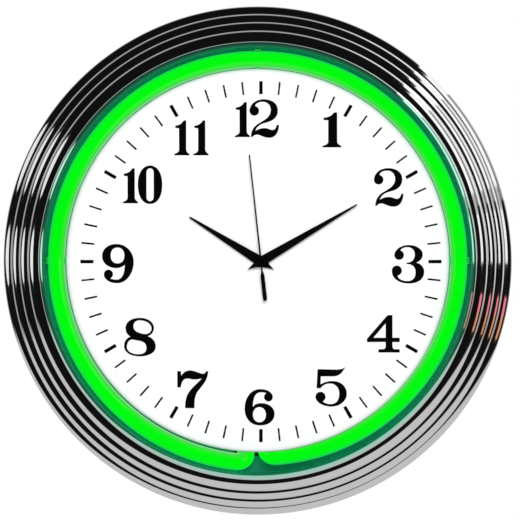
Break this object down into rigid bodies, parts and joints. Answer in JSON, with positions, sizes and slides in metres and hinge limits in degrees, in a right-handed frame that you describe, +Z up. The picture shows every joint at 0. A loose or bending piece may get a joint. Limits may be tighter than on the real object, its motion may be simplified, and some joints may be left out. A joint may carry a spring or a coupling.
{
  "type": "neon wall clock",
  "caption": "Round wall clock with a ribbed chrome rim, a green neon ring round a white dial with bold serif numerals, and black lancet hands.",
  "frame": {"origin": "middle of the hanger's round hole, on the wall plane", "axes": "+Y into the wall, so the dial faces -Y; +X to the right seen from the front; +Z up"},
  "size_m": [0.381, 0.076, 0.381],
  "materials": {
    "chrome_plating": "polished",
    "clear_lens": "gloss",
    "clear_clip": "gloss",
    "gasket_rubber": "matte",
    "tray_black": "gloss",
    "dial_white": "satin",
    "dial_ink": "matte",
    "neon_green": "gloss",
    "electrode_metal": "satin",
    "boot_silicone": "satin",
    "hv_silicone": "satin",
    "case_black": "matte",
    "zinc_steel": "satin",
    "supply_black": "satin",
    "switch_black": "satin",
    "brass_blade": "satin",
    "lead_red": "satin",
    "lead_black": "satin",
    "movement_black": "satin",
    "wheel_ivory": "satin",
    "cannon_brass": "satin",
    "ferrite": "matte",
    "stator_iron": "satin",
    "coil_copper": "gloss",
    "bobbin_white": "satin",
    "board_green": "satin",
    "battery_jacket": "gloss",
    "hand_black": "satin"
  },
  "bodies": {
    "case": {"chrome_rim": "chrome_plating", "glass_lens": "clear_lens", "lens_gasket": "gasket_rubber", "reflector_tray": "tray_black", "dial_plate": "dial_white", "dial_numerals": "dial_ink", "minute_track": "dial_ink", "neon_tube": "neon_green", "left_electrode": "electrode_metal", "right_electrode": "electrode_metal", "left_electrode_boot": "boot_silicone", "right_electrode_boot": "boot_silicone", "left_high_voltage_lead": "hv_silicone", "right_high_voltage_lead": "hv_silicone", "tube_clips": "clear_clip", "clip_screws": "zinc_steel", "rear_case": "case_black", "clamp_ring": "case_black", "hanger_plate": "zinc_steel", "hanger_rivets": "zinc_steel", "rim_screws": "zinc_steel", "dial_screws": "zinc_steel", "high_voltage_supply": "supply_black", "supply_screws": "zinc_steel", "dc_inlet": "switch_black", "dc_inlet_pin": "zinc_steel", "dc_inlet_nut": "zinc_steel", "switch_housing": "switch_black", "switch_terminals": "brass_blade", "lead_inlet_to_switch": "lead_red", "lead_switch_to_supply": "lead_red", "lead_inlet_to_supply": "lead_black", "movement_case": "movement_black", "middle_plate": "bobbin_white", "movement_back_cover": "movement_black", "movement_screws": "zinc_steel", "stator": "stator_iron", "coil_bobbin": "bobbin_white", "coil_winding": "coil_copper", "circuit_board": "board_green", "quartz_crystal": "zinc_steel", "battery": "battery_jacket", "battery_positive_contact": "zinc_steel", "battery_negative_contact": "zinc_steel"},
    "hour": {"hour_wheel": "wheel_ivory", "hour_hand": "hand_black"},
    "minute": {"cannon_pinion": "cannon_brass", "minute_wheel": "wheel_ivory", "minute_hand": "hand_black"},
    "second": {"seconds_wheel": "wheel_ivory", "second_hand": "hand_black"},
    "third": {"third_wheel": "wheel_ivory"},
    "intermediate": {"intermediate_wheel": "wheel_ivory"},
    "rotor": {"rotor_pinion": "wheel_ivory", "rotor_magnet": "ferrite"},
    "motion_works": {"motion_works_wheel": "wheel_ivory"},
    "knob": {"setting_knob": "movement_black"},
    "rocker": {"switch_rocker": "switch_black"}
  },
  "joints": [
    {"name": "minute_spin", "type": "hinge", "parent": "case", "child": "minute", "pos_m": [0.0024, 0, -0.1288], "axis": [0, 1, 0], "continuous": true},
    {"name": "hour_spin", "type": "hinge", "parent": "case", "child": "hour", "pos_m": [0.0024, 0, -0.1288], "axis": [0, 1, 0], "continuous": true},
    {"name": "second_spin", "type": "hinge", "parent": "case", "child": "second", "pos_m": [0.0024, 0, -0.1288], "axis": [0, 1, 0], "continuous": true},
    {"name": "third_spin", "type": "hinge", "parent": "case", "child": "third", "pos_m": [-0.00765, 0, -0.13057], "axis": [0, 1, 0], "continuous": true},
    {"name": "intermediate_spin", "type": "hinge", "parent": "case", "child": "intermediate", "pos_m": [0.00512, 0, -0.11866], "axis": [0, 1, 0], "continuous": true},
    {"name": "rotor_spin", "type": "hinge", "parent": "case", "child": "rotor", "pos_m": [0.01292, 0, -0.11728], "axis": [0, 1, 0], "continuous": true},
    {"name": "motion_works_spin", "type": "hinge", "parent": "case", "child": "motion_works", "pos_m": [0.01142, 0, -0.13208], "axis": [0, 1, 0], "continuous": true},
    {"name": "knob_spin", "type": "hinge", "parent": "case", "child": "knob", "pos_m": [0.02088, 0, -0.13375], "axis": [0, 1, 0], "continuous": true},
    {"name": "switch_rock", "type": "hinge", "parent": "case", "child": "rocker", "pos_m": [-0.03, -0.017, -0.2906], "axis": [0, 1, 0], "range_deg": [-24, 0]}
  ],
  "couplings": [
    {"joint": "hour_spin", "follows": "minute_spin", "ratio": 0.083333},
    {"joint": "second_spin", "follows": "minute_spin", "ratio": 60},
    {"joint": "third_spin", "follows": "minute_spin", "ratio": -8},
    {"joint": "intermediate_spin", "follows": "minute_spin", "ratio": -360},
    {"joint": "rotor_spin", "follows": "minute_spin", "ratio": 1800},
    {"joint": "motion_works_spin", "follows": "minute_spin", "ratio": -0.33333},
    {"joint": "knob_spin", "follows": "minute_spin", "ratio": 1}
  ]
}
